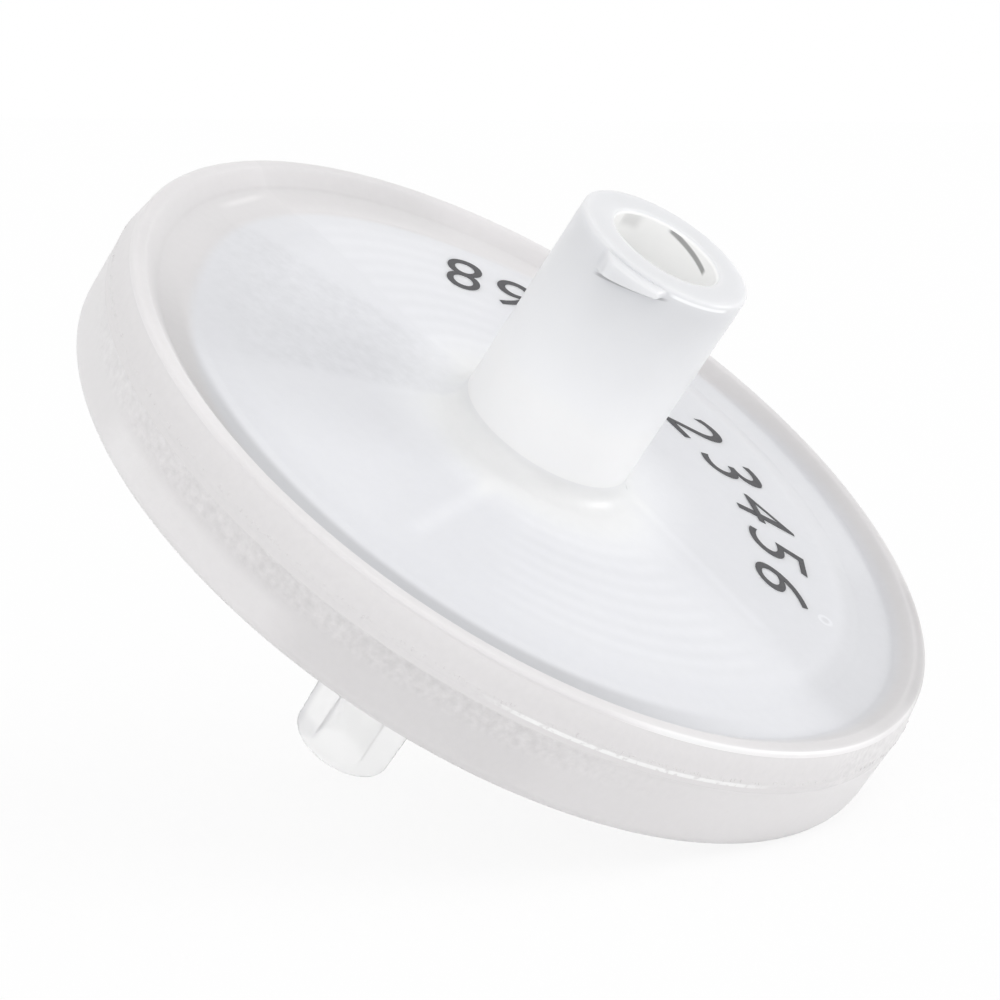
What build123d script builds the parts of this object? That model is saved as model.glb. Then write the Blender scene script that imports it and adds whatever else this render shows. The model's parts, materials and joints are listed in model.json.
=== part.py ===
"""A syringe filter: two moulded polypropylene halves welded together round a membrane disc.

Millimetres, +Z up. The filter lies as it comes to rest on a bench, on the lower edge of its
rim and the end of its outlet, and the origin is the middle of its bounding box, on the bench.
Sections are drawn on a plane that holds the filter's own axis: x there is the distance from
that axis and y the height along it, zero at the weld seam between the two halves.
"""

import os
from math import atan, atan2, cos, degrees, radians, sin

from build123d import *

os.makedirs("parts", exist_ok=True)

# Membrane and the weld that closes round it
membrane_radius = 14.2
membrane_thickness = 0.2
membrane_clearance = 0.1
clamp_width = 1.3
pocket_depth = 1.0
tongue_width = 0.9
weld_clearance = 0.1

# Plates over and under the membrane, with ridges above it and cut ribs below it
chamber_height = 0.55
inlet_plate = 1.2
ridge_pitch = 3.9
ridge_height = 0.3
outlet_plate = 1.2
rib_height = 0.5
rib_width = 0.45
rib_pitch = 3.1
first_rib_radius = 2.9
channel_width = 1.1
channel_count = 6

# Rim: the outside of both halves and the foot that stands below the lower plate
rim_wall = 1.9
rim_draft = 0.25
seam_chamfer = 0.08
foot_height = 0.55
foot_width = 2.5
foot_chamfer = 0.4

# Top face: the lip, the shallow moat inside it and the plateau
lip_height = 0.3
crest_width = 0.55
crest_chamfer = 0.12
lip_slope_width = 0.7
moat_depth = 0.2
moat_width = 1.5
plateau_edge_width = 0.2

# Inlet hub with its female Luer socket and the thread lugs at its mouth
luer_taper = 0.06
passage_diameter = 2.0
socket_diameter = 4.3
socket_depth = 7.5
socket_chamfer = 0.15
hub_wall = 1.3
hub_base = 1.8
hub_chamfer = 0.12
hub_foot_round = 0.8
lug_count = 2
lug_height = 0.45
lug_depth = 1.1
lug_flank = 0.25
lug_lead = 5.0
lug_start_angle = -97
lug_span_angle = 47

# Outlet spigot with its male Luer taper
outlet_diameter = 4.0
outlet_length = 11.85
outlet_chamfer = 0.25
outlet_foot_chamfer = 0.5

# Radii that follow, from the membrane outwards
clamp_radius = membrane_radius - clamp_width
tongue_inner = membrane_radius + membrane_clearance
tongue_outer = tongue_inner + tongue_width
pocket_radius = tongue_outer + weld_clearance
rim_radius = pocket_radius + rim_wall
foot_inner = rim_radius - foot_width
crest_outer = rim_radius - rim_draft
crest_inner = crest_outer - crest_width
lip_foot_radius = crest_inner - lip_slope_width
moat_inner = lip_foot_radius - moat_width
plateau_radius = moat_inner - plateau_edge_width
luer_slope = luer_taper / 2
passage_radius = passage_diameter / 2
socket_radius = socket_diameter / 2
socket_floor_radius = socket_radius - luer_slope * socket_depth
hub_radius = socket_radius + hub_wall
lug_radius = hub_radius + lug_height
outlet_radius = outlet_diameter / 2
outlet_root_radius = outlet_radius + luer_slope * outlet_length

# Heights that follow, from the seam up and down
pocket_floor = -pocket_depth
clamp_height = pocket_floor + membrane_thickness
ceiling = clamp_height + chamber_height
plateau_height = ceiling + inlet_plate
moat_height = plateau_height - moat_depth
crest_height = plateau_height + lip_height
hub_top = plateau_height + hub_base + socket_depth
socket_floor = hub_top - socket_depth
channel_floor = pocket_floor - rib_height
underside = channel_floor - outlet_plate
rim_bottom = underside - foot_height
outlet_end = underside - outlet_length

# The filter touches the bench with the corner under its rim and the corner of its outlet's
# end, so its axis leans by the slope of the line between the two
rim_corner = rim_radius - foot_chamfer
outlet_corner = outlet_radius - outlet_chamfer
lean = atan2(rim_bottom - outlet_end, rim_corner - outlet_corner)
lift = rim_corner * sin(lean) - rim_bottom * cos(lean)
high_side = crest_outer * cos(lean) + (crest_height - crest_chamfer) * sin(lean)
low_side = -rim_radius * cos(lean) + (rim_bottom + foot_chamfer) * sin(lean)

# The axis leans towards +X, and the rim touches the bench on that side
seam_centre = Vector(-(high_side + low_side) / 2, 0, lift)
section = Plane(origin=seam_centre, x_dir=(cos(lean), 0, -sin(lean)), z_dir=(0, -1, 0))
across = Plane(origin=seam_centre, x_dir=section.x_dir, z_dir=section.y_dir)
filter_axis = Axis(seam_centre, section.y_dir)


# One thread lug: a stretch of ring whose underside climbs like the thread it stands for
lug_rise = lug_lead * lug_span_angle / 360
lug_chord = 2 * lug_radius * sin(radians(lug_span_angle / 2))
lug_turn = Rotation(0, 0, lug_start_angle + lug_span_angle / 2)
lug_climb = Rotation(degrees(atan(lug_rise / lug_chord)), 0, 0)
lug_under = across.offset(hub_top - lug_depth + lug_rise / 2).moved(lug_turn).moved(lug_climb)

with BuildPart() as lug:
    with BuildSketch(section.moved(Rotation(0, lug_start_angle, 0))):
        with BuildLine():
            Polyline(
                (hub_radius - hub_wall / 2, hub_top - hub_chamfer),
                (hub_radius - hub_chamfer, hub_top),
                (lug_radius, hub_top - lug_flank),
                (lug_radius, hub_top - lug_depth),
                (hub_radius - hub_wall / 2, hub_top - lug_depth),
                close=True,
            )
        make_face()
    revolve(axis=filter_axis, revolution_arc=lug_span_angle)
    split(bisect_by=lug_under, keep=Keep.TOP)


# Inlet half: rim, plateau and hub, with V ridges and the weld tongue on its underside
ridge_count = int((clamp_radius - passage_radius) / ridge_pitch)
ridges = [(clamp_radius - ridge_pitch * ridge_count, ceiling)]
for ring in range(ridge_count, 0, -1):
    ridges.append((clamp_radius - ridge_pitch * (ring - 0.5), ceiling - ridge_height))
    ridges.append((clamp_radius - ridge_pitch * (ring - 1), ceiling))

with BuildPart() as inlet_housing:
    with BuildSketch(section) as inlet_profile:
        with BuildLine():
            Polyline(
                (clamp_radius, clamp_height),
                (tongue_inner, clamp_height),
                (tongue_inner, pocket_floor),
                (tongue_outer, pocket_floor),
                (tongue_outer, 0),
                (rim_radius - seam_chamfer, 0),
                (rim_radius, seam_chamfer),
                (crest_outer, crest_height - crest_chamfer),
                (crest_outer - crest_chamfer, crest_height),
                (crest_inner, crest_height),
                (lip_foot_radius, moat_height),
                (moat_inner, moat_height),
                (plateau_radius, plateau_height),
                (hub_radius, plateau_height),
                (hub_radius, hub_top - hub_chamfer),
                (hub_radius - hub_chamfer, hub_top),
                (socket_radius + socket_chamfer, hub_top),
                (socket_radius, hub_top - socket_chamfer),
                (socket_floor_radius, socket_floor),
                (passage_radius, socket_floor),
                (passage_radius, ceiling),
                *ridges,
                close=True,
            )
        make_face()
        hub_foot = inlet_profile.vertices().sort_by_distance((hub_radius, plateau_height))[0]
        fillet(hub_foot, hub_foot_round)
    revolve(axis=filter_axis)
    for turn in range(lug_count):
        add(lug.part.rotate(filter_axis, turn * 360 / lug_count))
inlet_housing.part.label = "inlet_housing"


# Outlet half: concentric ribs cut by radial channels, then the pocket, rim, foot and spigot
rib_count = int((clamp_radius - rib_width / 2 - first_rib_radius) / rib_pitch) + 1
rib_middle = channel_floor + rib_height / 2
rib_places = [(first_rib_radius + rib_pitch * ring, rib_middle) for ring in range(rib_count)]

with BuildPart() as outlet_housing:
    with BuildSketch(section):
        with Locations(*rib_places):
            Rectangle(rib_width, rib_height)
    revolve(axis=filter_axis)
    with BuildSketch(across.offset(channel_floor)):
        with PolarLocations(clamp_radius / 2, channel_count):
            Rectangle(clamp_radius, channel_width)
    extrude(amount=rib_height, mode=Mode.SUBTRACT)
    with BuildSketch(section):
        with BuildLine():
            Polyline(
                (passage_radius, channel_floor),
                (clamp_radius, channel_floor),
                (clamp_radius, pocket_floor),
                (pocket_radius, pocket_floor),
                (pocket_radius, 0),
                (rim_radius - seam_chamfer, 0),
                (rim_radius, -seam_chamfer),
                (rim_radius, rim_bottom + foot_chamfer),
                (rim_radius - foot_chamfer, rim_bottom),
                (foot_inner, rim_bottom),
                (foot_inner, underside),
                (outlet_root_radius + outlet_foot_chamfer, underside),
                (outlet_root_radius, underside - outlet_foot_chamfer),
                (outlet_radius, outlet_end + outlet_chamfer),
                (outlet_radius - outlet_chamfer, outlet_end),
                (passage_radius, outlet_end),
                close=True,
            )
        make_face()
    revolve(axis=filter_axis)
outlet_housing.part.label = "outlet_housing"


# Membrane: a flat disc on the lower ribs, clamped by its edge between the halves
with BuildPart() as filter_membrane:
    with BuildSketch(across.offset(pocket_floor)):
        Circle(membrane_radius)
    extrude(amount=membrane_thickness)
filter_membrane.part.label = "filter_membrane"


for piece in (inlet_housing, outlet_housing, filter_membrane):
    export_step(piece.part, f"parts/{piece.part.label}.step")

print("the axis leans by", round(degrees(lean), 3), "degrees")
print("centre of the weld seam", seam_centre)
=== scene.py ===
# %% [markdown]
# # A syringe filter in milky polypropylene
#
# Two round mouldings are welded together with a membrane between them. The upper one carries
# the hub that a syringe turns into, the lower one the spigot that takes a needle. The CAD model
# gives the sizes and the way the filter lies on the bench; this script gives it the soft edges,
# the weld, the print and the clouded plastic that make it look real.

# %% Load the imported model
import json
from math import cos, pi, radians, sin, tan

import bmesh
import bpy
from mathutils import Matrix, Vector


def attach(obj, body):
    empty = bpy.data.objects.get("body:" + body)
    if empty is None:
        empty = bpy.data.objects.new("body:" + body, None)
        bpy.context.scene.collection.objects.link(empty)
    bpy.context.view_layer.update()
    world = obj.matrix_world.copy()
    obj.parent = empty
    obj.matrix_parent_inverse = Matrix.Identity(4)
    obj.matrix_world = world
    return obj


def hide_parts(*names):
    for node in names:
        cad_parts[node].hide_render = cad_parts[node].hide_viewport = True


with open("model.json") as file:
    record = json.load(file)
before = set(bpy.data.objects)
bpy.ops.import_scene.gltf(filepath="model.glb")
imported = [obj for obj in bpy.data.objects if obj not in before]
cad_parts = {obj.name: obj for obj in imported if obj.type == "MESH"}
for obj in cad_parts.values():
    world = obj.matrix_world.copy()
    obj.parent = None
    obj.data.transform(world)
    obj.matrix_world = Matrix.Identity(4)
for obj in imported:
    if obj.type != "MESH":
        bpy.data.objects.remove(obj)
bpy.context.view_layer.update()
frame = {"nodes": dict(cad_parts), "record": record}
scene = bpy.context.scene
mm = 0.001

# %% [markdown]
# ## The filter's own frame
#
# The filter lies tilted on the rim and on the end of its outlet, so nothing on it is upright.
# It is far easier to think along its own axis: the height above the weld seam, the distance from
# the axis and the angle round it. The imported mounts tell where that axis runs, and one matrix,
# `stand`, carries points from the filter's frame to the bench.

# %% The axis from the mounts
mounts = {mount["name"]: mount for mount in frame["record"]["mounts"]}
hub_top = 10.25 * mm
mouth = Vector(mounts["luer_inlet"]["pos_m"])
outlet_tip = Vector(mounts["luer_outlet"]["pos_m"])
axis = Vector(mounts["luer_inlet"]["axis"]).normalized()
across = Vector((0, 1, 0))
stand = Matrix((across.cross(axis), across, axis)).transposed().to_4x4()
stand.translation = mouth - axis * hub_top
print("length along the axis, mm", round((mouth - outlet_tip).length / mm, 2))

# %% [markdown]
# ## Sizes
#
# These are the sizes of the CAD model, as heights above the weld seam and distances from the
# axis. The rim's radius comes from its mount. The wall stands back from it by a hair, so that
# the weld bead on it stays inside the CAD model's box.

# %% Heights and radii
rim_radius = mounts["rim"]["dims"]["r_mm"] * mm
bead_room = 0.03 * mm
wall_radius = rim_radius - bead_room
crest_height = 1.25 * mm
crest_outer = rim_radius - 0.25 * mm
crest_inner = crest_outer - 0.55 * mm
plateau_height = crest_height - 0.3 * mm
moat_height = plateau_height - 0.2 * mm
lip_foot = crest_inner - 0.7 * mm
moat_inner = lip_foot - 1.5 * mm
plateau_radius = moat_inner - 0.2 * mm
hub_radius = 3.45 * mm
socket_radius = 2.15 * mm
socket_depth = 7.5 * mm
passage_radius = 1.0 * mm
luer_slope = 0.03
ceiling = plateau_height - 1.2 * mm
pocket_floor = -1.0 * mm
clamp_height = pocket_floor + 0.2 * mm
clamp_radius = 12.9 * mm
pocket_radius = 15.3 * mm
tongue_outer = pocket_radius - 0.1 * mm
tongue_inner = tongue_outer - 0.9 * mm
channel_floor = pocket_floor - 0.5 * mm
underside = channel_floor - 1.2 * mm
rim_bottom = underside - 0.55 * mm
foot_inner = rim_radius - 2.5 * mm
outlet_radius = 2.0 * mm
outlet_end = underside - 11.85 * mm
outlet_root = outlet_radius + luer_slope * (underside - outlet_end)
print("rim radius and outlet end, mm", round(rim_radius / mm, 2), round(outlet_end / mm, 2))

# %% [markdown]
# ## The camera
#
# A long lens close to the bench looks along the disc's upper face, so the plateau shows as a
# wide ellipse with the hub standing out of it towards the upper right.

# %% Camera
camera_azimuth = radians(34.2)
camera_height = radians(6.7)
camera_distance = 128 * mm
aim_shift = Vector((-1.56, -2.33)) * mm

level = Vector((sin(camera_azimuth), -cos(camera_azimuth), 0))
right = Vector((cos(camera_azimuth), sin(camera_azimuth), 0))
back = level * cos(camera_height) + Vector((0, 0, sin(camera_height)))
aim = stand @ Vector((0, 0, crest_height)) + right * aim_shift.x + back.cross(right) * aim_shift.y
camera = bpy.data.objects.new("camera", bpy.data.cameras.new("camera"))
scene.collection.objects.link(camera)
camera.location = aim + back * camera_distance
camera.rotation_euler = (-back).to_track_quat("-Z", "Y").to_euler()
camera.data.sensor_width = 36
camera.data.lens = 124
camera.data.clip_start = 0.01
scene.camera = camera
print("camera at", tuple(round(v, 4) for v in camera.location))

# %% [markdown]
# ## Turned forms
#
# Both mouldings are round, so each is one closed outline carried round the axis. Hard corners
# never catch the light the way moulded plastic does, so an outline is given as corners with a
# rounding each, and a helper puts a short arc of points at every corner.


# %% Outline with rounded corners
def rounded_outline(corners, step=radians(10)):
    """The points of a closed outline whose corners are (distance, height, rounding)."""
    points = []
    for number, (distance, height, rounding) in enumerate(corners):
        corner = Vector((distance, height))
        if not rounding:
            points.append(corner)
            continue
        back_way = (Vector(corners[number - 1][:2]) - corner).normalized()
        on_way = (Vector(corners[(number + 1) % len(corners)][:2]) - corner).normalized()
        half = back_way.angle(on_way) / 2
        middle = corner + (back_way + on_way).normalized() * rounding / sin(half)
        spoke = corner + back_way * rounding / tan(half) - middle
        turn = pi - 2 * half
        way = 1 if back_way.cross(on_way) < 0 else -1
        pieces = max(2, round(turn / step))
        for piece in range(pieces + 1):
            points.append(middle + Matrix.Rotation(way * turn * piece / pieces, 2) @ spoke)
    return points


square = [(0, 0, 0), (2, 0, 0), (2, 2, 1), (0, 2, 0)]
print("a square with one round corner has", len(rounded_outline(square)), "points")


# %% Lathe
def finished(name, form):
    """A smooth object made of a bmesh in the filter's own frame, moved to the bench."""
    bmesh.ops.recalc_face_normals(form, faces=form.faces)
    form.transform(stand)
    mesh = bpy.data.meshes.new(name)
    form.to_mesh(mesh)
    form.free()
    mesh.shade_smooth()
    mesh.set_sharp_from_angle(angle=radians(40))
    piece = bpy.data.objects.new(name, mesh)
    scene.collection.objects.link(piece)
    print(name, len(mesh.polygons), "faces")
    return piece


def turned(name, outline_at, slices=384):
    """A closed mesh made of the outline that outline_at gives for each angle."""
    form = bmesh.new()
    rings = []
    for number in range(slices):
        angle = 2 * pi * number / slices
        ring = [
            form.verts.new((distance * cos(angle), distance * sin(angle), height))
            for distance, height in outline_at(angle)
        ]
        rings.append(ring)
    for ring, beside in zip(rings, rings[1:] + rings[:1]):
        for start in range(len(ring)):
            end = (start + 1) % len(ring)
            form.faces.new((ring[start], beside[start], beside[end], ring[end]))
    return finished(name, form)


# %% [markdown]
# ## The thread lugs
#
# A syringe's collar turns onto two lugs at the mouth, which are part of the upper moulding.
# Instead of joining two more meshes, which would leave walls inside the plastic, the outline
# itself changes with the angle: near the mouth the hub's outer wall steps out where a lug is.
# Its underside climbs round the hub like the thread it stands for, and its ends run in and out.
# Each row gives a share of the lug's reach and a height, and the shares below one round off its
# two edges.

# %% Thread lugs
lug_reach = 0.45 * mm
lug_depth = 1.1 * mm
lug_start = radians(-97)
lug_span = radians(47)
thread_lead = 5.0 * mm
lug_rise = thread_lead * lug_span / (2 * pi)
run_in = 0.3
run_out = 0.86
mouth_round = 0.18 * mm
lug_zone = 1.4 * mm


def smooth_step(value, low, high):
    """Zero below low, one above high and a smooth slope between."""
    share = min(1, max(0, (value - low) / (high - low)))
    return share * share * (3 - 2 * share)


def mouth_wall(angle):
    """The hub's outer wall from below the lugs to the start of the mouth's rounded edge."""
    along = ((angle - lug_start) % pi) / lug_span
    reach = lug_reach * smooth_step(along, 0, run_in) * smooth_step(along, 1, run_out)
    under = hub_top - lug_depth + lug_rise * min(1, along)
    top = hub_top - mouth_round
    rows = [(0, under - 0.06 * mm), (0.03, under - 0.02 * mm), (0.12, under)]
    rows += [(0.88, under + 0.04 * mm), (0.97, under + 0.07 * mm), (1, under + 0.08 * mm)]
    rows += [(1, top - 0.14 * mm), (0.97, top - 0.1 * mm), (0.88, top - 0.05 * mm), (0.65, top)]
    return [Vector((hub_radius + reach * share, height)) for share, height in rows]


print("a lug climbs by, mm", round(lug_rise / mm, 2))

# %% [markdown]
# ## The wall round the weld
#
# The upper half's wall leans in a little from the seam to the crest. The stretch of wall from
# just below the seam to just under the crest gets a plastic of its own later on, so both
# outlines have a corner where that zone ends. A fine groove is left at the seam for the bead.

# %% Weld zone
weld_zone = (-0.45 * mm, 1.05 * mm)
band_top = crest_outer - 0.04 * mm
groove = 0.02 * mm


def wall_at(height):
    """The distance of the leaning upper wall from the axis at a height."""
    return wall_radius + (band_top - wall_radius) * height / crest_height


print("the wall leans in by, mm", round((wall_radius - band_top) / mm, 2))

# %% [markdown]
# ## The inlet half
#
# The lip stands a little above the plateau, with a shallow moat between them that a wide, soft
# step leads into. On the underside a weld tongue drops into the lower half, and low ridges
# spread the liquid over the membrane.

# %% Ridges over the membrane
ridge_pitch = 3.9 * mm
ridge_height = 0.3 * mm
ridge_count = int((clamp_radius - passage_radius) / ridge_pitch)
ridges = [(clamp_radius - ridge_pitch * ridge_count, ceiling, 0)]
for number in range(ridge_count, 0, -1):
    ridges.append((clamp_radius - ridge_pitch * (number - 0.5), ceiling - ridge_height, 0))
    ridges.append((clamp_radius - ridge_pitch * (number - 1), ceiling, 0))
print(ridge_count, "ridges")

# %% Inlet half: outline of rim and hub
soft_step = 0.9 * mm
rim_and_hub = rounded_outline(
    [
        (passage_radius, ceiling, 0),
        *ridges,
        (clamp_radius, clamp_height, 0),
        (tongue_inner, clamp_height, 0),
        (tongue_inner, pocket_floor, 0),
        (tongue_outer, pocket_floor, 0),
        (tongue_outer, 0, 0),
        (wall_radius - groove / 2, 0, 0),
        (wall_radius, groove, groove / 2),
        (wall_at(weld_zone[1]), weld_zone[1], 0),
        (band_top, crest_height, 0.2 * mm),
        (crest_inner, crest_height, 0.25 * mm),
        (lip_foot, moat_height, 0.4 * mm),
        (moat_inner, moat_height, 0.8 * mm),
        (plateau_radius - soft_step, plateau_height, 2.0 * mm),
        (hub_radius + 4 * mm, plateau_height, 0),
        (hub_radius, plateau_height, 0.8 * mm),
        (hub_radius, hub_top - lug_zone, 0),
    ]
)
print("rim and hub", len(rim_and_hub), "points")

# %% Inlet half: outline of mouth and socket
chamfer = 0.1 * mm
below_socket = hub_top - socket_depth - 0.5 * mm
mouth_and_socket = rounded_outline(
    [
        (hub_radius, hub_top, mouth_round),
        (socket_radius + chamfer, hub_top, chamfer),
        (socket_radius, hub_top - 1.5 * chamfer, chamfer),
        (socket_radius - luer_slope * socket_depth, hub_top - socket_depth, chamfer),
        (passage_radius, hub_top - socket_depth, chamfer / 2),
        (passage_radius, below_socket, 0),
        (hub_radius, below_socket, 0),
    ]
)
# Its first point is the last one of mouth_wall, and its last corner only closed it here
socket = mouth_and_socket[1:-1]
print("mouth and socket", len(socket), "points")


# %% Inlet half
def inlet_outline(angle):
    """The whole outline of the inlet half at an angle round the axis."""
    return rim_and_hub + mouth_wall(angle) + socket


inlet_half = turned("inlet_half", inlet_outline)

# %% [markdown]
# ## The outlet half
#
# The lower half is a shallow dish with a foot round its underside and the outlet spigot in the
# middle. The spigot narrows by six parts in a hundred, like every luer tip.

# %% Outlet half
dish = rounded_outline(
    [
        (passage_radius, channel_floor, 0),
        (clamp_radius, channel_floor, 0),
        (clamp_radius, pocket_floor, 0),
        (pocket_radius, pocket_floor, 0),
        (pocket_radius, 0, 0),
        (wall_radius - groove / 2, 0, 0),
        (wall_radius, -groove, groove / 2),
        (wall_radius, weld_zone[0], 0),
        (wall_radius, rim_bottom, 0.66 * mm),
        (foot_inner, rim_bottom, 0.2 * mm),
        (foot_inner, underside, 0.2 * mm),
        (outlet_root, underside, 0.5 * mm),
        (outlet_radius, outlet_end, 0.4 * mm),
        (passage_radius, outlet_end, 0.06 * mm),
    ]
)
outlet_half = turned("outlet_half", lambda angle: dish)

# %% [markdown]
# ## Node helpers
#
# Everything from here on uses nodes, and a few short helpers keep that readable: one adds a node
# with its settings, one does a sum, one starts a node group with named sockets, and one places
# a finished group in another tree.


# %% Node helpers: nodes and sums
def fill(tree, sockets, values):
    """Link or set the sockets, by name or by number, to the values given for them."""
    for name, value in values.items():
        if isinstance(value, bpy.types.NodeSocket):
            tree.links.new(value, sockets[name])
        else:
            sockets[name].default_value = value


def add_node(tree, kind, inputs=None, **settings):
    """A new node of the tree; inputs are values or sockets, by name or by number."""
    node = tree.nodes.new(kind)
    for name, value in settings.items():
        setattr(node, name, value)
    fill(tree, node.inputs, inputs or {})
    return node


def sum_of(tree, operation, *values):
    """The result socket of a Math node."""
    return add_node(tree, "ShaderNodeMath", dict(enumerate(values)), operation=operation).outputs[0]


# %% Node helpers: groups
def new_group(name, kind, inputs, outputs):
    """An empty node group with named sockets, and its two end nodes."""
    group = bpy.data.node_groups.new(name, kind)
    for label, socket_kind in inputs.items():
        group.interface.new_socket(label, in_out="INPUT", socket_type=socket_kind)
    for label, socket_kind in outputs.items():
        group.interface.new_socket(label, in_out="OUTPUT", socket_type=socket_kind)
    return group, group.nodes.new("NodeGroupInput").outputs, group.nodes.new("NodeGroupOutput").inputs


def use_group(tree, group, **inputs):
    """The outputs of a shader group placed in a tree; an underscore stands for a space."""
    node = add_node(tree, "ShaderNodeGroup", node_tree=group)
    fill(tree, node.inputs, {name.replace("_", " "): value for name, value in inputs.items()})
    return node.outputs


FLOAT, INT, VECTOR = "NodeSocketFloat", "NodeSocketInt", "NodeSocketVector"
MATERIAL, GEOMETRY = "NodeSocketMaterial", "NodeSocketGeometry"

# %% [markdown]
# ## Support ribs, with Geometry Nodes
#
# The membrane lies on rings of ribs with six channels between them. A Repeat zone makes one arc
# for each ring, so that the arcs leave the same channel width near the middle and near the rim.
# The arcs of one sixth are then set down six times round the axis.

# %% Rib tree: inputs and the repeat zone
ribs, given, result = new_group(
    "support_ribs",
    "GeometryNodeTree",
    {
        "Rings": INT,
        "First Radius": FLOAT,
        "Pitch": FLOAT,
        "Width": FLOAT,
        "Height": FLOAT,
        "Channel Width": FLOAT,
        "Channels": INT,
        "Material": MATERIAL,
    },
    {"Geometry": GEOMETRY},
)
start = ribs.nodes.new("GeometryNodeRepeatInput")
finish = ribs.nodes.new("GeometryNodeRepeatOutput")
start.pair_with_output(finish)
finish.repeat_items.new("FLOAT", "Radius")
fill(ribs, start.inputs, {"Iterations": given["Rings"], "Radius": given["First Radius"]})
radius = start.outputs["Radius"]
print("rib tree takes", [socket.name for socket in given if socket.name])

# %% Rib tree: one arc for each ring
half_channel = sum_of(ribs, "MULTIPLY", given["Channel Width"], 0.5)
channel_angle = sum_of(ribs, "ARCSINE", sum_of(ribs, "DIVIDE", half_channel, radius))
share_angle = sum_of(ribs, "DIVIDE", 2 * pi, given["Channels"])
sweep = sum_of(ribs, "SUBTRACT", share_angle, sum_of(ribs, "MULTIPLY", channel_angle, 2.0))
path = {"Resolution": 24, "Radius": radius, "Start Angle": channel_angle, "Sweep Angle": sweep}
arc = add_node(ribs, "GeometryNodeCurveArc", path).outputs["Curve"]
section = {"Width": given["Width"], "Height": given["Height"]}
bar = add_node(ribs, "GeometryNodeCurvePrimitiveQuadrilateral", section).outputs["Curve"]
swept = {"Curve": arc, "Profile Curve": bar, "Fill Caps": True}
rib = add_node(ribs, "GeometryNodeCurveToMesh", swept).outputs["Mesh"]
grown = add_node(ribs, "GeometryNodeJoinGeometry", {"Geometry": rib})
ribs.links.new(start.outputs["Geometry"], grown.inputs["Geometry"])
next_radius = sum_of(ribs, "ADD", radius, given["Pitch"])
fill(ribs, finish.inputs, {"Geometry": grown.outputs["Geometry"], "Radius": next_radius})
print("rib tree", len(ribs.nodes), "nodes so far")


# %% Rib tree: all round the axis
def end_tree(tree, geometry, material, result):
    """Give the geometry its material and make it the tree's result."""
    coat = {"Geometry": geometry, "Material": material}
    coated = add_node(tree, "GeometryNodeSetMaterial", coat).outputs["Geometry"]
    tree.links.new(coated, result["Geometry"])
    print(tree.name, "tree", len(tree.nodes), "nodes")


turns = add_node(ribs, "GeometryNodePoints", {"Count": given["Channels"]}).outputs["Points"]
number = add_node(ribs, "GeometryNodeInputIndex").outputs[0]
turn = add_node(ribs, "ShaderNodeCombineXYZ", {"Z": sum_of(ribs, "MULTIPLY", number, share_angle)})
setting = {"Points": turns, "Instance": finish.outputs["Geometry"], "Rotation": turn.outputs[0]}
placed = add_node(ribs, "GeometryNodeInstanceOnPoints", setting).outputs["Instances"]
real = add_node(ribs, "GeometryNodeRealizeInstances", {"Geometry": placed})
end_tree(ribs, real.outputs["Geometry"], given["Material"], result)

# %% [markdown]
# ## From a node tree to a plain mesh
#
# A tree runs once, as a modifier on an empty mesh. Its result is copied into a mesh of its own,
# lifted to its height on the filter's axis and tipped onto the bench with the rest.


# %% Run a tree
def grown_by(name, tree, values, height):
    """The plain mesh object that a geometry tree makes from the named values."""
    seed = bpy.data.objects.new(name + "_seed", bpy.data.meshes.new(name + "_seed"))
    scene.collection.objects.link(seed)
    modifier = seed.modifiers.new(name, "NODES")
    modifier.node_group = tree
    for item in tree.interface.items_tree:
        if item.in_out == "INPUT":
            modifier[item.identifier] = values[item.name]
    graph = bpy.context.evaluated_depsgraph_get()
    mesh = bpy.data.meshes.new_from_object(seed.evaluated_get(graph))
    bpy.data.objects.remove(seed)
    mesh.name = name
    mesh.transform(stand @ Matrix.Translation((0, 0, height)))
    piece = bpy.data.objects.new(name, mesh)
    scene.collection.objects.link(piece)
    print(name, len(mesh.polygons), "faces")
    return piece


# %% [markdown]
# ## Round the axis
#
# The patterns in the plastic are rings and rays round the filter's axis. This group turns Object
# coordinates into millimetres in the filter's own frame, and puts out the distance from the
# axis, the angle round it in degrees and the height above the seam. With a Centre beside the
# axis, distance and angle run round that point instead. The Mapping node of type Texture undoes
# the matrix `stand`.

# %% Group: round the axis
polar, given, result = new_group(
    "round_the_axis",
    "ShaderNodeTree",
    {"Position": VECTOR, "Centre": VECTOR},
    {"Local": VECTOR, "Distance": FLOAT, "Angle": FLOAT, "Height": FLOAT},
)
tipped = {"Location": stand.translation, "Rotation": stand.to_euler(), "Scale": (mm, mm, mm)}
tipped["Vector"] = given["Position"]
local = add_node(polar, "ShaderNodeMapping", tipped, vector_type="TEXTURE").outputs[0]
pair = {0: local, 1: given["Centre"]}
shifted = add_node(polar, "ShaderNodeVectorMath", pair, operation="SUBTRACT").outputs[0]
parts = add_node(polar, "ShaderNodeSeparateXYZ", {"Vector": shifted}).outputs
flat = add_node(polar, "ShaderNodeCombineXYZ", {"X": parts["X"], "Y": parts["Y"]}).outputs[0]
reach = add_node(polar, "ShaderNodeVectorMath", {0: flat}, operation="LENGTH").outputs["Value"]
degrees_round = sum_of(polar, "DEGREES", sum_of(polar, "ARCTAN2", parts["Y"], parts["X"]))
found = {"Local": local, "Distance": reach, "Angle": degrees_round, "Height": parts["Z"]}
fill(polar, result, found)
print(polar.name, "puts out", list(found))

# %% [markdown]
# ## A soft window
#
# Many marks fill only part of the way round or part of the way out. This group gives one inside
# a window from Low to High and fades to nothing over Fade on both sides. The product of several
# windows, on distance, angle and height, is a patch with soft edges on all sides.

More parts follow.
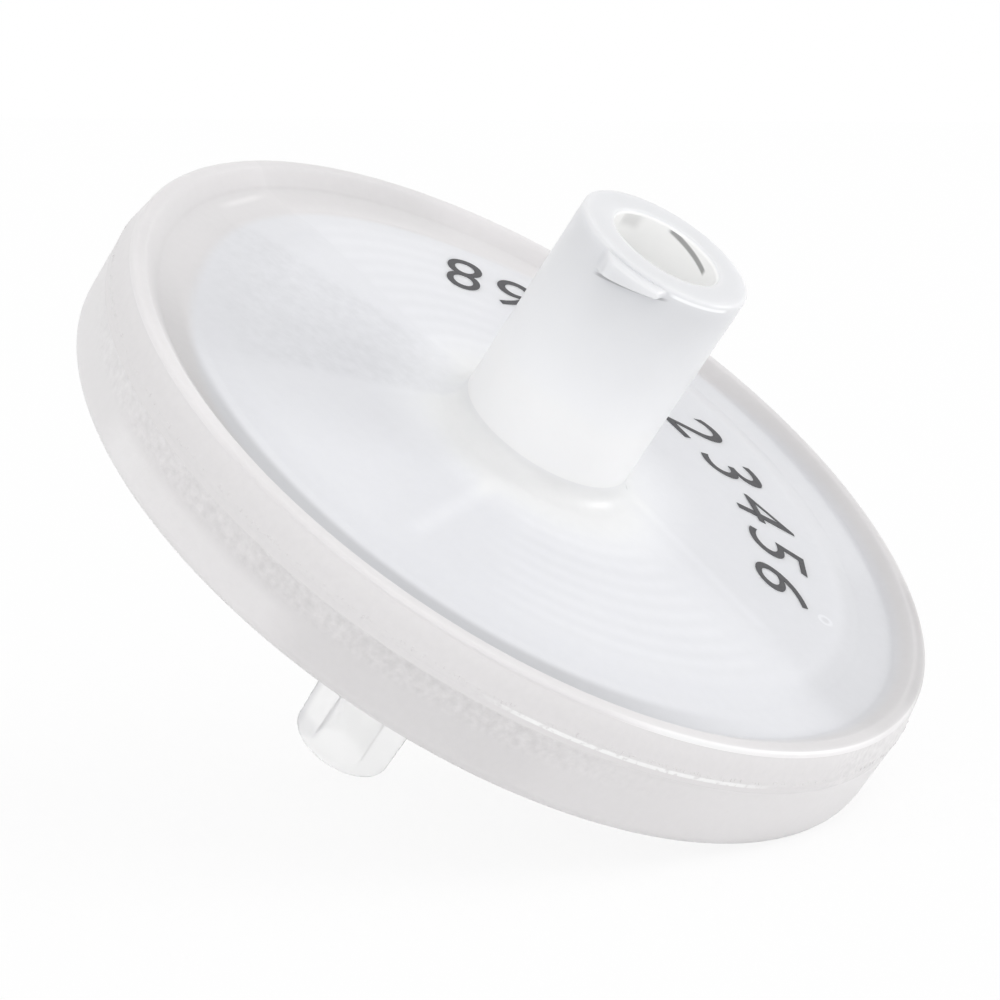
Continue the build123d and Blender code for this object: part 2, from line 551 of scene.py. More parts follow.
# %% Group: window
window, given, result = new_group(
    "soft_window",
    "ShaderNodeTree",
    {"Value": FLOAT, "Low": FLOAT, "High": FLOAT, "Fade": FLOAT},
    {"Mask": FLOAT},
)
low_end = sum_of(window, "SUBTRACT", given["Low"], given["Fade"])
high_end = sum_of(window, "ADD", given["High"], given["Fade"])
slopes = [
    {"Value": given["Value"], "From Min": low_end, "From Max": given["Low"]},
    {"Value": given["Value"], "From Min": given["High"], "From Max": high_end, "To Min": 1.0, "To Max": 0.0},
]
rising, falling = (
    add_node(window, "ShaderNodeMapRange", slope, interpolation_type="SMOOTHSTEP").outputs[0]
    for slope in slopes
)
window.links.new(sum_of(window, "MULTIPLY", rising, falling), result["Mask"])


def soft(tree, value, low, high, fade):
    """A mask that is one while the value is between low and high."""
    return use_group(tree, window, Value=value, Low=low, High=high, Fade=fade)["Mask"]


def patch(tree, where, **spans):
    """A mask that is one where each named coordinate is in its span (low, high, fade)."""
    first, *others = [soft(tree, where[name], *span) for name, span in spans.items()]
    for mask in others:
        first = sum_of(tree, "MULTIPLY", first, mask)
    return first


print(window.name, len(window.nodes), "nodes")

# %% [markdown]
# ## A streak
#
# Bright streaks run straight over the plate. A Mapping node puts the start of the mark at zero and
# turns the mark along X, and two windows then fade its sides and its ends.

# %% Group: streak
streak, given, result = new_group(
    "streak",
    "ShaderNodeTree",
    {"Local": VECTOR, "Start": VECTOR, "Turn": VECTOR, "Length": FLOAT, "Width": FLOAT},
    {"Mask": FLOAT},
)
laying = {"Vector": given["Local"], "Location": given["Start"], "Rotation": given["Turn"]}
laid = add_node(streak, "ShaderNodeMapping", laying, vector_type="TEXTURE").outputs[0]
parts = add_node(streak, "ShaderNodeSeparateXYZ", {"Vector": laid}).outputs
end_fade = 1.5
along = soft(streak, parts["X"], 0.0, given["Length"], end_fade)
beside = soft(streak, sum_of(streak, "ABSOLUTE", parts["Y"]), -1.0, 0.0, given["Width"])
streak.links.new(sum_of(streak, "MULTIPLY", along, beside), result["Mask"])
print(streak.name, len(streak.nodes), "nodes")

# %% [markdown]
# ## Clouded plastic
#
# Moulded polypropylene is milky because fine crystals scatter the light, and never quite evenly.
# The group puts out a slow cloud and a fine grain, both around zero.

# %% Group: cloud and grain
cloud, given, result = new_group(
    "cloud_and_grain",
    "ShaderNodeTree",
    {"Local": VECTOR, "Cloud Scale": FLOAT, "Grain Scale": FLOAT},
    {"Cloud": FLOAT, "Grain": FLOAT},
)
for output, detail in (("Cloud", 2.0), ("Grain", 3.0)):
    texture = {"Vector": given["Local"], "Scale": given[output + " Scale"], "Detail": detail}
    noise = add_node(cloud, "ShaderNodeTexNoise", texture).outputs[0]
    cloud.links.new(sum_of(cloud, "SUBTRACT", noise, 0.5), result[output])
print(cloud.name, len(cloud.nodes), "nodes")

# %% [markdown]
# ## Material helpers
#
# Every plastic is one Principled shader with subsurface scattering, which lets light wander
# through a milky wall. A plastic without it is plain and takes light only on its surface. The
# colour is a tint that a list of marks makes lighter or darker: each mark is a mask and the
# share that it adds. The inlet half's list is long and grows over several cells.


# %% Material helpers: a new plastic
def around(tree, centre=(0, 0, 0)):
    """The coordinates round the axis, or round a centre beside it."""
    position = add_node(tree, "ShaderNodeTexCoord").outputs["Object"]
    return use_group(tree, polar, Position=position, Centre=centre)


def new_material(name, roughness):
    """A new material: its tree, its shader and the coordinates round the axis."""
    material = bpy.data.materials.new(name)
    material.use_nodes = True
    tree = material.node_tree
    shader = tree.nodes["Principled BSDF"]
    shader.inputs["Roughness"].default_value = roughness
    return material, tree, shader, around(tree)


def plastic(name, roughness, scatter=0):
    """A new milky plastic, or a plain one where the scatter is left out."""
    material, tree, shader, where = new_material(name, roughness)
    shader.inputs["IOR"].default_value = 1.49
    if scatter:
        shader.inputs["Subsurface Weight"].default_value = 1.0
        shader.inputs["Subsurface Radius"].default_value = (1.0, 1.0, 1.0)
        shader.inputs["Subsurface Scale"].default_value = scatter
    return material, tree, shader, where


# %% Material helpers: colour and relief
def blend(tree, factor, low, high, kind="MIX"):
    """The colour socket of a Mix node between two colours."""
    node = add_node(tree, "ShaderNodeMix", data_type="RGBA", blend_type=kind)
    fill(tree, node.inputs, {0: factor, 6: low, 7: high})
    return node.outputs[2]


def marked(tree, tint, marks):
    """The tint with every mark's share added to its lightness."""
    tone = 1.0
    for mask, share in marks:
        tone = sum_of(tree, "ADD", tone, sum_of(tree, "MULTIPLY", mask, share))
    return blend(tree, 1.0, tint, tone, "MULTIPLY")


def dress(tree, shader, colour, relief, strength, depth):
    """Link a colour and a fine relief to the shader."""
    tree.links.new(colour, shader.inputs["Base Color"])
    bump = {"Height": relief, "Strength": strength, "Distance": depth}
    tree.links.new(add_node(tree, "ShaderNodeBump", bump).outputs[0], shader.inputs["Normal"])


# %% [markdown]
# ## The inlet half's plastic
#
# Over the membrane the plate looks whiter and bluer than over the weld. Round the hub's foot it is
# whitest, which is painted light. The edge of the white zone comes nearer to the axis at the back,
# which paints shade over the back of the rim. Sizes in the marks are millimetres and degrees round
# the axis.

# %% Inlet plastic: tint
inlet_plastic, tree, shader, where = plastic("milky_polypropylene", 0.3, 0.5 * mm)
marbling = use_group(tree, cloud, Local=where["Local"], Cloud_Scale=0.16, Grain_Scale=2.6)
white_reach = 15.6
drawn_in = 1.9
# Painted shade: at the back the darker rim zone reaches nearer the axis.
back_shade = soft(tree, sum_of(tree, "ABSOLUTE", where["Angle"]), 150.0, 200.0, 70.0)
edge = sum_of(tree, "SUBTRACT", white_reach, sum_of(tree, "MULTIPLY", back_shade, drawn_in))
over_membrane = soft(tree, where["Distance"], 0.0, edge, 0.6)
# Painted light: the plate is whitest round the hub's foot.
hub_foot_light = soft(tree, where["Distance"], 0.0, 4.2, 3.5)
tint = blend(tree, over_membrane, (0.785, 0.77, 0.775, 1), (0.811, 0.817, 0.845, 1))
tint = blend(tree, hub_foot_light, tint, (0.915, 0.923, 0.95, 1))
marks = [(marbling["Cloud"], 0.05), (marbling["Grain"], 0.04)]
print(inlet_plastic.name, "starts with", len(marks), "marks")

# %% [markdown]
# ### Ribs that show through, and the hub's painted shadow
#
# The ribs under the membrane show as faint arcs in two fans, and a darker, grainy wedge that runs
# out from beside the hub is the hub's painted shadow. A sine of the distance makes the arcs.

# %% Inlet plastic: arcs and the hub's painted shadow
arc_pitch = 0.85
ripple = sum_of(tree, "SINE", sum_of(tree, "MULTIPLY", where["Distance"], 2 * pi / arc_pitch))
fan_tone = sum_of(tree, "ADD", sum_of(tree, "MULTIPLY", ripple, 0.014), 0.02)
for way in ((148.0, 176.0, 10.0), (-52.0, -8.0, 12.0)):
    marks.append((patch(tree, where, Distance=(6.5, 12.0, 1.5), Angle=way), fan_tone))
# The hub's painted shadow: a darker, grainy wedge out from beside the hub.
beside_hub = around(tree, (-1.4, 2.4, 0))
hub_shadow = patch(tree, beside_hub, Distance=(6.5, 12.0, 3.5), Angle=(-150.0, -112.0, 5.0))
hub_shadow_tone = sum_of(tree, "ADD", sum_of(tree, "MULTIPLY", marbling["Grain"], 0.12), -0.055)
marks.append((hub_shadow, hub_shadow_tone))
print(inlet_plastic.name, len(marks), "marks so far")

# %% [markdown]
# ### Streaks, painted shade and light, and spots
#
# Four bright streaks run straight over the top face, and the two that run out from the hub are
# painted light. The moat and the lip carry painted shade and light: a thin painted shadow at the
# lip's foot in front, softer painted shade at the left, the back and the right, and painted light
# on the crest at the left. Painted shade also lies over the right of the plate. A painted highlight
# runs along the crest at the front right, and two pins of the mould left small round spots.

# %% Inlet plastic: streaks
# Bright streaks; the first two, running out from the hub, are painted light.
for start, turn, length, width, share in (
    ((3.0, -10.8, 0), 103, 6.2, 0.6, 0.055),
    ((4.2, 2.3, 0), -3, 6.0, 0.5, 0.04),
    ((-14.9, -2.8, 0), 100, 1.2, 0.25, 0.12),
    ((-11.1, -2.8, 0), 28, 7.4, 0.5, 0.02),
):
    lie = {"Start": start, "Turn": (0, 0, radians(turn)), "Length": length, "Width": width}
    marks.append((use_group(tree, streak, Local=where["Local"], **lie)["Mask"], share))
print(inlet_plastic.name, len(marks), "marks so far")

# %% Inlet plastic: painted shade and light in moat and lip
# Painted shadow at the lip's foot in front, then painted shade in the moat at the left, at the back, on the
# rim at the right, in the moat at the right and on the crest at the right; the crest at the left gets
# painted light.
for reach, way, share in (
    ((15.0, 15.7, 0.5), (-100.0, -50.0, 40.0), -0.27),
    ((13.0, 16.0, 2.0), (-170.0, -130.0, 20.0), -0.05),
    ((15.0, 17.5, 0.8), (152.0, 176.0, 12.0), -0.06),
    ((15.9, 18.0, 0.6), (-10.0, 85.0, 22.0), -0.07),
    ((16.3, 18.0, 0.6), (-128.0, -104.0, 14.0), 0.05),
    ((13.8, 15.3, 0.7), (8.0, 44.0, 14.0), -0.06),
    ((16.6, 18.0, 0.25), (22.0, 46.0, 8.0), -0.11),
):
    marks.append((patch(tree, where, Distance=reach, Angle=way), share))
# Painted shade over the right part of the plate.
shaded_right = patch(tree, where, Distance=(6.0, 20.0, 3.0), Angle=(-300.0, 105.0, 30.0))
sideways = add_node(tree, "ShaderNodeSeparateXYZ", {"Vector": where["Local"]}).outputs["Y"]
shaded_right = sum_of(tree, "MULTIPLY", shaded_right, soft(tree, sideways, 2.4, 30.0, 1.8))
marks.append((shaded_right, -0.055))
print(inlet_plastic.name, len(marks), "marks so far")

# %% Inlet plastic: painted highlight, spots and finish
# A painted highlight along the crest at the front right.
crest_highlight = {"Distance": (16.86, 17.0, 0.06), "Angle": (-32.0, 15.0, 12.0), "Height": (1.05, 1.5, 0.08)}
marks.append((patch(tree, where, **crest_highlight), 0.2))
for centre, reach, share in (
    ((11.1, 6.1, 0), (0.22, 0.3, 0.06), 0.1),
    ((11.1, 6.1, 0), (-1.0, 0.1, 0.06), -0.05),
    ((3.05, 2.1, 0), (-1.0, 0.05, 0.06), -0.25),
):
    marks.append((patch(tree, around(tree, centre), Distance=reach), share))
dress(tree, shader, marked(tree, tint, marks), marbling["Grain"], 0.25, 0.02 * mm)
shader.inputs["Transmission Weight"].default_value = 0.1
print(inlet_plastic.name, len(marks), "marks,", len(tree.nodes), "nodes")

# %% [markdown]
# ## The outlet half's plastic
#
# The lower half is thicker at the rim, so it looks a little greyer and warmer there. Its wall is
# rough below the weld, which shows as a speckled band in colour and relief. Painted light makes it
# lighter low down on the left and all the way at the right, and painted shade darker at the front.

# %% Outlet plastic
outlet_plastic, tree, shader, where = plastic("milky_polypropylene_lower", 0.38, 0.5 * mm)
marbling = use_group(tree, cloud, Local=where["Local"], Cloud_Scale=0.14, Grain_Scale=4.0)
cloudy = sum_of(tree, "ADD", marbling["Cloud"], 0.5)
tint = blend(tree, cloudy, (0.825, 0.807, 0.812, 1), (0.865, 0.853, 0.858, 1))
band = patch(tree, where, Height=(-1.1, 0.0, 0.5), Angle=(-115.0, -50.0, 25.0))
speckle = sum_of(tree, "MULTIPLY", band, marbling["Grain"])
marks = [
    (speckle, 0.25),
    (marbling["Grain"], 0.04),
    # Painted shade at the front.
    (patch(tree, where, Angle=(-72.0, -48.0, 35.0)), -0.05),
    # Painted light low down on the left.
    (patch(tree, where, Angle=(-108.0, -82.0, 8.0), Height=(-4.0, -1.9, 0.6)), 0.085),
    # Painted light at the right.
    (patch(tree, where, Angle=(-38.0, 30.0, 16.0), Height=(-9.0, 0.5, 0.5)), 0.05),
]
rough = sum_of(tree, "ADD", sum_of(tree, "MULTIPLY", speckle, 2.0), marbling["Grain"])
dress(tree, shader, marked(tree, tint, marks), rough, 0.3, 0.03 * mm)
shader.inputs["Transmission Weight"].default_value = 0.12
print(outlet_plastic.name, len(marks), "marks,", len(tree.nodes), "nodes")

# %% [markdown]
# ## The hub's plastic
#
# The hub's thick wall holds more light than the plate. Light also comes in at its open end, so a
# tint that darkens towards the mouth, painted shade, keeps the wall's tone even. A painted shadow
# under one lug and a painted highlight under the mouth follow the edges there.


# %% Hub plastic
def slanted_line(tree, where, turns, heights, half_width, fade, end_fade=6.0):
    """A mask along a line that climbs round the hub, over turns in degrees and heights in mm."""
    slope = (heights[1] - heights[0]) / (turns[1] - turns[0])
    climb = sum_of(tree, "MULTIPLY", sum_of(tree, "SUBTRACT", where["Angle"], turns[0]), slope)
    above = sum_of(tree, "SUBTRACT", where["Height"], sum_of(tree, "ADD", climb, heights[0]))
    line = soft(tree, above, -half_width, half_width, fade)
    return sum_of(tree, "MULTIPLY", line, soft(tree, where["Angle"], *turns, end_fade))


hub_plastic, tree, shader, where = plastic("hub_polypropylene", 0.3, 0.8 * mm)
marbling = use_group(tree, cloud, Local=where["Local"], Cloud_Scale=0.3, Grain_Scale=1.8)
rise = {"Value": where["Height"], "From Min": 2.0, "From Max": 10.3}
upward = add_node(tree, "ShaderNodeMapRange", rise).outputs[0]
# Painted shade: the tint darkens towards the mouth.
tint = blend(tree, upward, (0.985, 0.99, 1.0, 1), (0.71, 0.715, 0.73, 1))
in_mouth = soft(tree, where["Distance"], -1.0, 2.17, 0.06)
tint = blend(tree, in_mouth, tint, (0.995, 0.995, 0.995, 1))
on_wall = soft(tree, where["Distance"], 3.4, 5.0, 0.05)
marks = [(marbling["Cloud"], 0.05)]
for line, share in (
    # Painted shadow under one lug.
    (slanted_line(tree, where, (-90.0, -52.0), (9.13, 9.72), 0.03, 0.05), -0.3),
    # Painted highlight under the mouth.
    (slanted_line(tree, where, (-44.0, -8.0), (10.03, 10.03), 0.03, 0.06), 0.25),
):
    marks.append((sum_of(tree, "MULTIPLY", on_wall, line), share))
dress(tree, shader, marked(tree, tint, marks), marbling["Grain"], 0.25, 0.02 * mm)
print(hub_plastic.name, len(marks), "marks,", len(tree.nodes), "nodes")

# %% [markdown]
# ## The socket's plastic
#
# Inside the socket, light is thrown from wall to wall. Subsurface scattering would lose much of
# it through the wall, so the inside is plain and nearly white. A painted dark reflection on its far
# side and a soft painted shade at its left stand where the inner wall turns away from the light.

# %% Socket plastic
bore_plastic, tree, shader, where = plastic("bore_polypropylene", 0.4)
marks = [
    # Painted dark reflection on the socket's far side.
    (slanted_line(tree, where, (68.0, 118.0), (9.68, 10.06), 0.06, 0.08), -0.62),
    # Soft painted shade at the socket's left.
    (slanted_line(tree, where, (160.0, 172.0), (9.86, 9.92), 0.1, 0.4, 14.0), -0.2),
]
tree.links.new(marked(tree, (1.0, 1.0, 0.995, 1), marks), shader.inputs["Base Color"])
print(bore_plastic.name, len(marks), "marks,", len(tree.nodes), "nodes")

# %% [markdown]
# ## The spigot's plastic
#
# A thin wall scatters so little that the spigot looks almost clear, with painted shade only along
# one edge. It is the same plastic, so only the balance changes: most of the light passes through.
# An IOR near that of air keeps its outline soft, as the scatter in the real wall does.

# %% Spigot plastic
thin_plastic, tree, shader, where = plastic("thin_polypropylene", 0.45, 0.8 * mm)
marbling = use_group(tree, cloud, Local=where["Local"], Cloud_Scale=0.3, Grain_Scale=2.2)
cloudy = sum_of(tree, "ADD", marbling["Cloud"], 0.5)
tint = blend(tree, cloudy, (0.96, 0.96, 0.96, 1), (0.985, 0.985, 0.985, 1))
# Painted shade along one edge of the spigot.
shaded_edge = patch(tree, where, Angle=(-170.0, -134.0, 16.0))
tint = blend(tree, shaded_edge, tint, (0.79, 0.79, 0.8, 1))
dress(tree, shader, tint, marbling["Grain"], 0.2, 0.02 * mm)
shader.inputs["Transmission Weight"].default_value = 0.88
shader.inputs["IOR"].default_value = 1.03
print(thin_plastic.name, len(tree.nodes), "nodes")

# %% [markdown]
# ## The weld's plastic
#
# Bead, crumbs and the wall round them share one plain plastic. Subsurface scattering stops at a
# mesh's surface, so a bead that lies on a scattering wall would leave a dark line beside it. The
# bead carries a painted highlight where it faces the light, in patches, because the melt froze
# unevenly, and the grain is strongest near the right end.

# %% Weld plastic
flash_plastic, tree, shader, where = plastic("weld_polypropylene", 0.35)
marbling = use_group(tree, cloud, Local=where["Local"], Cloud_Scale=0.5, Grain_Scale=4.0)
patches = soft(tree, marbling["Grain"], -0.03, 1.0, 0.12)
patches = sum_of(tree, "ADD", sum_of(tree, "MULTIPLY", patches, 0.75), 0.25)
# Painted highlight on the bead, in patches.
bead_highlight = patch(tree, where, Angle=(-48.0, -22.0, 9.0), Height=(-0.2, -0.1, 0.05))
bead_highlight = sum_of(tree, "MULTIPLY", bead_highlight, patches)
tint = blend(tree, bead_highlight, (0.725, 0.71, 0.715, 1), (0.9, 0.9, 0.9, 1))
rough_end = patch(tree, where, Angle=(0.0, 16.0, 7.0))
grain_share = sum_of(tree, "ADD", sum_of(tree, "MULTIPLY", rough_end, 0.33), 0.07)
under_crest = patch(tree, where, Height=(0.95, 2.0, 0.6))
marks = [(marbling["Grain"], grain_share), (under_crest, 0.03)]
dress(tree, shader, marked(tree, tint, marks), marbling["Grain"], 0.3, 0.02 * mm)
print(flash_plastic.name, len(marks), "marks,", len(tree.nodes), "nodes")

# %% [markdown]
# ## Dressing the mouldings
#
# Each moulding is one mesh with several plastics. A face's place in the filter's own frame tells
# which one it gets: the wall by default, the tube beyond the plate, the weld round the seam, or
# the inside of the socket.

# %% Dress the mouldings
WALL, TUBE, WELD, SOCKET = range(4)
from_bench = stand.inverted()
weld_skin = 0.1 * mm
tube_reach = 4.2 * mm
hub_start = plateau_height + 0.75 * mm
spigot_start = underside - 0.55 * mm
bore_reach = socket_radius + 0.05 * mm
bore_heights = (2.0 * mm, hub_top - 0.16 * mm)


def zone_of(place):
    """Which plastic a face gets, from the place of its middle."""
    distance = place.xy.length
    if weld_zone[0] < place.z < weld_zone[1] and distance > wall_at(place.z) - weld_skin:
        return WELD
    if bore_heights[0] < place.z < bore_heights[1] and distance < bore_reach:
        return SOCKET
    beyond = place.z > hub_start or place.z < spigot_start
    return TUBE if beyond and distance < tube_reach else WALL


for piece, plastics in (
    (inlet_half, (inlet_plastic, hub_plastic, flash_plastic, bore_plastic)),
    (outlet_half, (outlet_plastic, thin_plastic, flash_plastic)),
):
    for material in plastics:
        piece.data.materials.append(material)
    zones = [zone_of(from_bench @ face.center) for face in piece.data.polygons]
    piece.data.polygons.foreach_set("material_index", zones)
    piece.data.update()
    print(piece.name, "faces by plastic", [zones.count(number) for number in range(4)])

# %% [markdown]
# ### The support ribs
#
# Now that the lower half's plastic is there, the rib tree can run. The ribs belong to that half,
# so they take the same plastic and stand on its channel floor.

# %% Support ribs
rib_height = 0.5 * mm
support = grown_by(
    "support_ribs",
    ribs,
    {
        "Rings": 4,
        "First Radius": 2.9 * mm,
        "Pitch": 3.1 * mm,
        "Width": 0.45 * mm,
        "Height": rib_height,
        "Channel Width": 1.1 * mm,
        "Channels": 6,
        "Material": outlet_plastic,
    },
    channel_floor + rib_height / 2,
)

# %% [markdown]
# ## Weld flash, with Geometry Nodes
#
# Where the halves were pressed together, a little plastic squeezed out of the seam and froze as
# a low, uneven bead with crumbs on it. The bead is a flattened ring of wire whose points are
# pushed about by a noise. For the crumbs, points on the same circle are moved a little at
# random, and each gets a low round crumb of its own size.

# %% Flash tree: the bead
flash, given, result = new_group(
    "weld_flash",
    "GeometryNodeTree",
    {
        "Radius": FLOAT,
        "Bead Width": FLOAT,
        "Shift": VECTOR,
        "Unevenness": FLOAT,
        "Crumbs": INT,
        "Crumb Size": FLOAT,
        "Scatter": FLOAT,
        "Seed": INT,
        "Material": MATERIAL,
    },
    {"Geometry": GEOMETRY},
)
circle_node = "GeometryNodeCurvePrimitiveCircle"
flatness = 0.2
ring = add_node(flash, circle_node, {"Resolution": 720, "Radius": given["Radius"]})
wire = add_node(flash, circle_node, {"Resolution": 12, "Radius": given["Bead Width"]})
pressing = {"Geometry": wire.outputs["Curve"], "Translation": given["Shift"], "Scale": (flatness, 1, 1)}
flat_wire = add_node(flash, "GeometryNodeTransform", pressing).outputs["Geometry"]
swept = {"Curve": ring.outputs["Curve"], "Profile Curve": flat_wire}
smooth_bead = add_node(flash, "GeometryNodeCurveToMesh", swept).outputs["Mesh"]
print("flash tree", len(flash.nodes), "nodes so far")

# %% Flash tree: the bead's unevenness
waves_in_a_metre = 900.0
place = add_node(flash, "GeometryNodeInputPosition").outputs[0]
outward = add_node(flash, "GeometryNodeInputNormal").outputs[0]
noise = add_node(flash, "ShaderNodeTexNoise", {"Vector": place, "Scale": waves_in_a_metre}).outputs[0]
amount = sum_of(flash, "MULTIPLY", noise, given["Unevenness"])
push = add_node(flash, "ShaderNodeVectorMath", {0: outward, "Scale": amount}, operation="SCALE")
pushing = {"Geometry": smooth_bead, "Offset": push.outputs[0]}
bead = add_node(flash, "GeometryNodeSetPosition", pushing).outputs["Geometry"]
print("flash tree", len(flash.nodes), "nodes so far")


# %% Flash tree: the crumbs
def random_vector(low, high, seed):
    """A random vector for each point of the flash tree."""
    inputs = {0: low, 1: high, "Seed": seed}
    return add_node(flash, "FunctionNodeRandomValue", inputs, data_type="FLOAT_VECTOR").outputs[0]


spread = {"Curve": ring.outputs["Curve"], "Count": given["Crumbs"]}
points = add_node(flash, "GeometryNodeCurveToPoints", spread, mode="COUNT").outputs
stray = random_vector((-0.2, -0.2, -1.0), (0.2, 0.2, 1.0), given["Seed"])
scatter = {0: stray, "Scale": given["Scatter"]}
offset = add_node(flash, "ShaderNodeVectorMath", scatter, operation="SCALE").outputs[0]
moving = {"Geometry": points["Points"], "Offset": offset}
moved = add_node(flash, "GeometryNodeSetPosition", moving).outputs["Geometry"]
ball = {"Segments": 8, "Rings": 5, "Radius": given["Crumb Size"]}
crumb = add_node(flash, "GeometryNodeMeshUVSphere", ball).outputs["Mesh"]
smallest, largest = (0.4, 0.4, 0.4), (1.0, 2.4, 0.9)
size = random_vector(smallest, largest, sum_of(flash, "ADD", given["Seed"], 1))
setting = {"Points": moved, "Instance": crumb, "Rotation": points["Rotation"], "Scale": size}
placed = add_node(flash, "GeometryNodeInstanceOnPoints", setting).outputs["Instances"]
real = add_node(flash, "GeometryNodeRealizeInstances", {"Geometry": placed}).outputs["Geometry"]
both = add_node(flash, "GeometryNodeJoinGeometry", {"Geometry": real})
flash.links.new(bead, both.inputs["Geometry"])
smooth = add_node(flash, "GeometryNodeSetShadeSmooth", {"Geometry": both.outputs["Geometry"]})
end_tree(flash, smooth.outputs["Geometry"], given["Material"], result)

# %% Weld flash
weld_flash = grown_by(
    "weld_flash",
    flash,
    {
        "Radius": wall_radius - bead_room / 2,
        "Bead Width": 0.16 * mm,
        "Shift": (0, 0.1 * mm, 0),
        "Unevenness": -0.02 * mm,
        "Crumbs": 720,
        "Crumb Size": 0.04 * mm,
        "Scatter": 0.05 * mm,
        "Seed": 4,
        "Material": flash_plastic,
    },
    0,
)

# %% [markdown]
# ## Printed numbers
#
# Filters carry print round the hub. Here it is plain numbers, as on a dial, in two groups. Each
# figure is made as text, slanted, thinned a little and turned into a mesh, and then bent round
# the axis: across the text becomes the angle, and up becomes the distance.


# %% One figure
def figure_mesh(figure):
    """The flat mesh of one slanted figure, as thick as a layer of ink."""
    text = bpy.data.curves.new("figure", "FONT")
    text.body = figure
    text.size = 3.5 * mm
    text.shear = 0.3
    text.align_x = "CENTER"
    text.extrude = 0.008 * mm
    text.offset = -0.02 * mm
    holder = bpy.data.objects.new("figure", text)
    scene.collection.objects.link(holder)
    graph = bpy.context.evaluated_depsgraph_get()
    mesh = bpy.data.meshes.new_from_object(holder.evaluated_get(graph))
    bpy.data.objects.remove(holder)
    return mesh


# %% Numbers
ink_height = plateau_height + 0.006 * mm
numbers = bmesh.new()
for figures, start_angle, step, print_radius in (
    ("89", radians(149), radians(11.5), 10.3 * mm),
    ("23456", radians(89.5), radians(13.7), 9.5 * mm),
):
    for number, figure in enumerate(figures):
        mesh = figure_mesh(figure)
        for vertex in mesh.vertices:
            x, y, z = vertex.co
            bend = start_angle - number * step - x / print_radius
            reach = print_radius + y
            vertex.co = (reach * cos(bend), reach * sin(bend), ink_height + z)
        numbers.from_mesh(mesh)
bmesh.ops.remove_doubles(numbers, verts=numbers.verts, dist=0.0001 * mm)
printed = finished("printed_numbers", numbers)

# %% [markdown]
# ### Ink
#
# Pad print on polypropylene is thin and never quite even, so the dark grey varies with a fine
# grain. It has a faint relief of its own and less gloss than the plastic.

# %% Ink
ink, tree, shader, where = new_material("grey_ink", 0.55)
marbling = use_group(tree, cloud, Local=where["Local"], Cloud_Scale=0.8, Grain_Scale=6.0)
wear = sum_of(tree, "ADD", sum_of(tree, "MULTIPLY", marbling["Grain"], 0.9), 0.4)
grey = blend(tree, wear, (0.035, 0.035, 0.04, 1), (0.10, 0.10, 0.105, 1))
dress(tree, shader, grey, marbling["Grain"], 0.2, 0.01 * mm)
printed.data.materials.append(ink)
print(ink.name, len(tree.nodes), "nodes")

# %% [markdown]
# ## The membrane
#
# The membrane is a matt white film full of pores. Its flat disc in the CAD model has the right
# shape, so that solid stays and only gets a material with a fine, pale grain.

# %% Membrane
film, tree, shader, where = new_material("membrane_film", 0.8)
marbling = use_group(tree, cloud, Local=where["Local"], Cloud_Scale=0.3, Grain_Scale=12.0)
pores = sum_of(tree, "ADD", marbling["Grain"], 0.5)
pale = blend(tree, pores, (0.84, 0.84, 0.84, 1), (0.95, 0.95, 0.95, 1))
dress(tree, shader, pale, marbling["Grain"], 0.5, 0.01 * mm)
membrane = frame["nodes"]["filter_membrane"]
for slot in membrane.material_slots:
    slot.material = film
print(film.name, len(tree.nodes), "nodes")

# %% [markdown]
# ## Tie the pieces to the model
#
# Nothing on the filter moves, so every piece rides on its one body, root. The two halves, the
# ribs, the weld and the print stand for the two moulded solids of the CAD model.

# %% Tie the pieces to the model
for piece, node in (
    (inlet_half, "inlet_housing"),
    (weld_flash, "inlet_housing"),
    (printed, "inlet_housing"),
    (outlet_half, "outlet_housing"),
    (support, "outlet_housing"),
):
    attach(piece, "root")
    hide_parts(node)
    print(piece.name, "stands for", node)

# %% [markdown]
# ## Floor and light
#
# A milky object looks right in an even white room, where it is seen by how much light it holds
# back and not by hard shadows. The world is plain white, the floor is nearly white, and three
# wide lamps add a little shape: one along the filter's own axis, one from the front, and a
# narrower one low behind it that draws a bright line along the lip.
#
# Rays that show the background meet pure white. The floor mixes in a share of paint, which is
# lit like any surface, so the filter's shadow still falls on it.

# %% Floor
floor_half = 3
corners = [(-1, -1), (1, -1), (1, 1), (-1, 1)]
floor_mesh = bpy.data.meshes.new("floor")
floor_mesh.from_pydata([(floor_half * x, floor_half * y, 0) for x, y in corners], [], [(0, 1, 2, 3)])
floor = bpy.data.objects.new("floor", floor_mesh)
scene.collection.objects.link(floor)
print("floor", 2 * floor_half, "m wide")


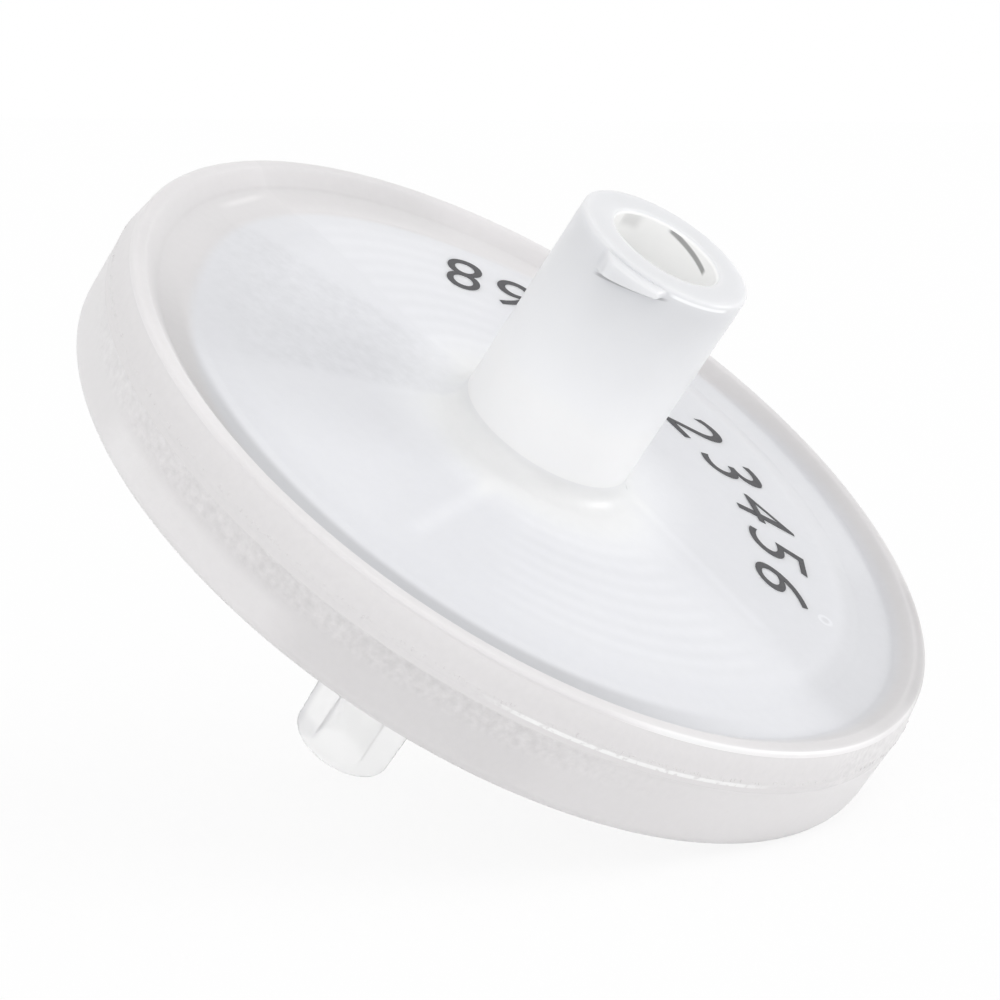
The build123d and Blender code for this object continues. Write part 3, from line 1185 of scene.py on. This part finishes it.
# %% Floor paint
def seen_rays(tree):
    """One for rays that show the background: from the camera, a reflection or through plastic."""
    path = add_node(tree, "ShaderNodeLightPath").outputs
    seen = sum_of(tree, "MAXIMUM", path["Is Camera Ray"], path["Is Glossy Ray"])
    return sum_of(tree, "MAXIMUM", seen, path["Is Transmission Ray"])


def mixed_surface(tree, kind, share, low, high):
    """Link the mix of two shaders to a new output node."""
    mix = add_node(tree, "ShaderNodeMixShader", {0: share, 1: low.outputs[0], 2: high.outputs[0]})
    add_node(tree, kind, {"Surface": mix.outputs[0]})


glow_share = 0.87
floor_paint = bpy.data.materials.new("white_table")
floor_paint.use_nodes = True
tree = floor_paint.node_tree
tree.nodes.clear()
share = sum_of(tree, "MULTIPLY", seen_rays(tree), glow_share)
paint = add_node(tree, "ShaderNodeBsdfDiffuse", {"Color": (0.97, 0.97, 0.97, 1)})
white = add_node(tree, "ShaderNodeEmission", {"Color": (1, 1, 1, 1), "Strength": 1.0})
mixed_surface(tree, "ShaderNodeOutputMaterial", share, paint, white)
floor_mesh.materials.append(floor_paint)
print(floor_paint.name, len(tree.nodes), "nodes")

# %% World
world = bpy.data.worlds.new("white_room")
scene.world = world
world.use_nodes = True
tree = world.node_tree
tree.nodes.clear()
room_light = 0.88
sky = add_node(tree, "ShaderNodeBackground", {"Color": (1, 1, 1, 1), "Strength": room_light})
white = add_node(tree, "ShaderNodeBackground", {"Color": (1, 1, 1, 1), "Strength": 1.0})
mixed_surface(tree, "ShaderNodeOutputWorld", seen_rays(tree), sky, white)
print(world.name, len(tree.nodes), "nodes")


# %% Lamps
def sun_lamp(name, towards, strength, width):
    """A soft lamp far away in the given direction from the filter."""
    lamp = bpy.data.lights.new(name, "SUN")
    lamp.energy = strength
    lamp.angle = width
    holder = bpy.data.objects.new(name, lamp)
    holder.rotation_euler = Vector(towards).to_track_quat("Z", "Y").to_euler()
    scene.collection.objects.link(holder)
    print(name, strength)


sun_lamp("over_the_plate", axis, 0.2, radians(60))
sun_lamp("by_the_camera", back, 0.6, radians(60))
behind_way = radians(55)
behind_height = radians(32)
behind = Vector((cos(behind_way), sin(behind_way), tan(behind_height)))
sun_lamp("low_behind", stand.to_3x3() @ behind, 0.6, radians(22))

scene.view_settings.view_transform = "Standard"
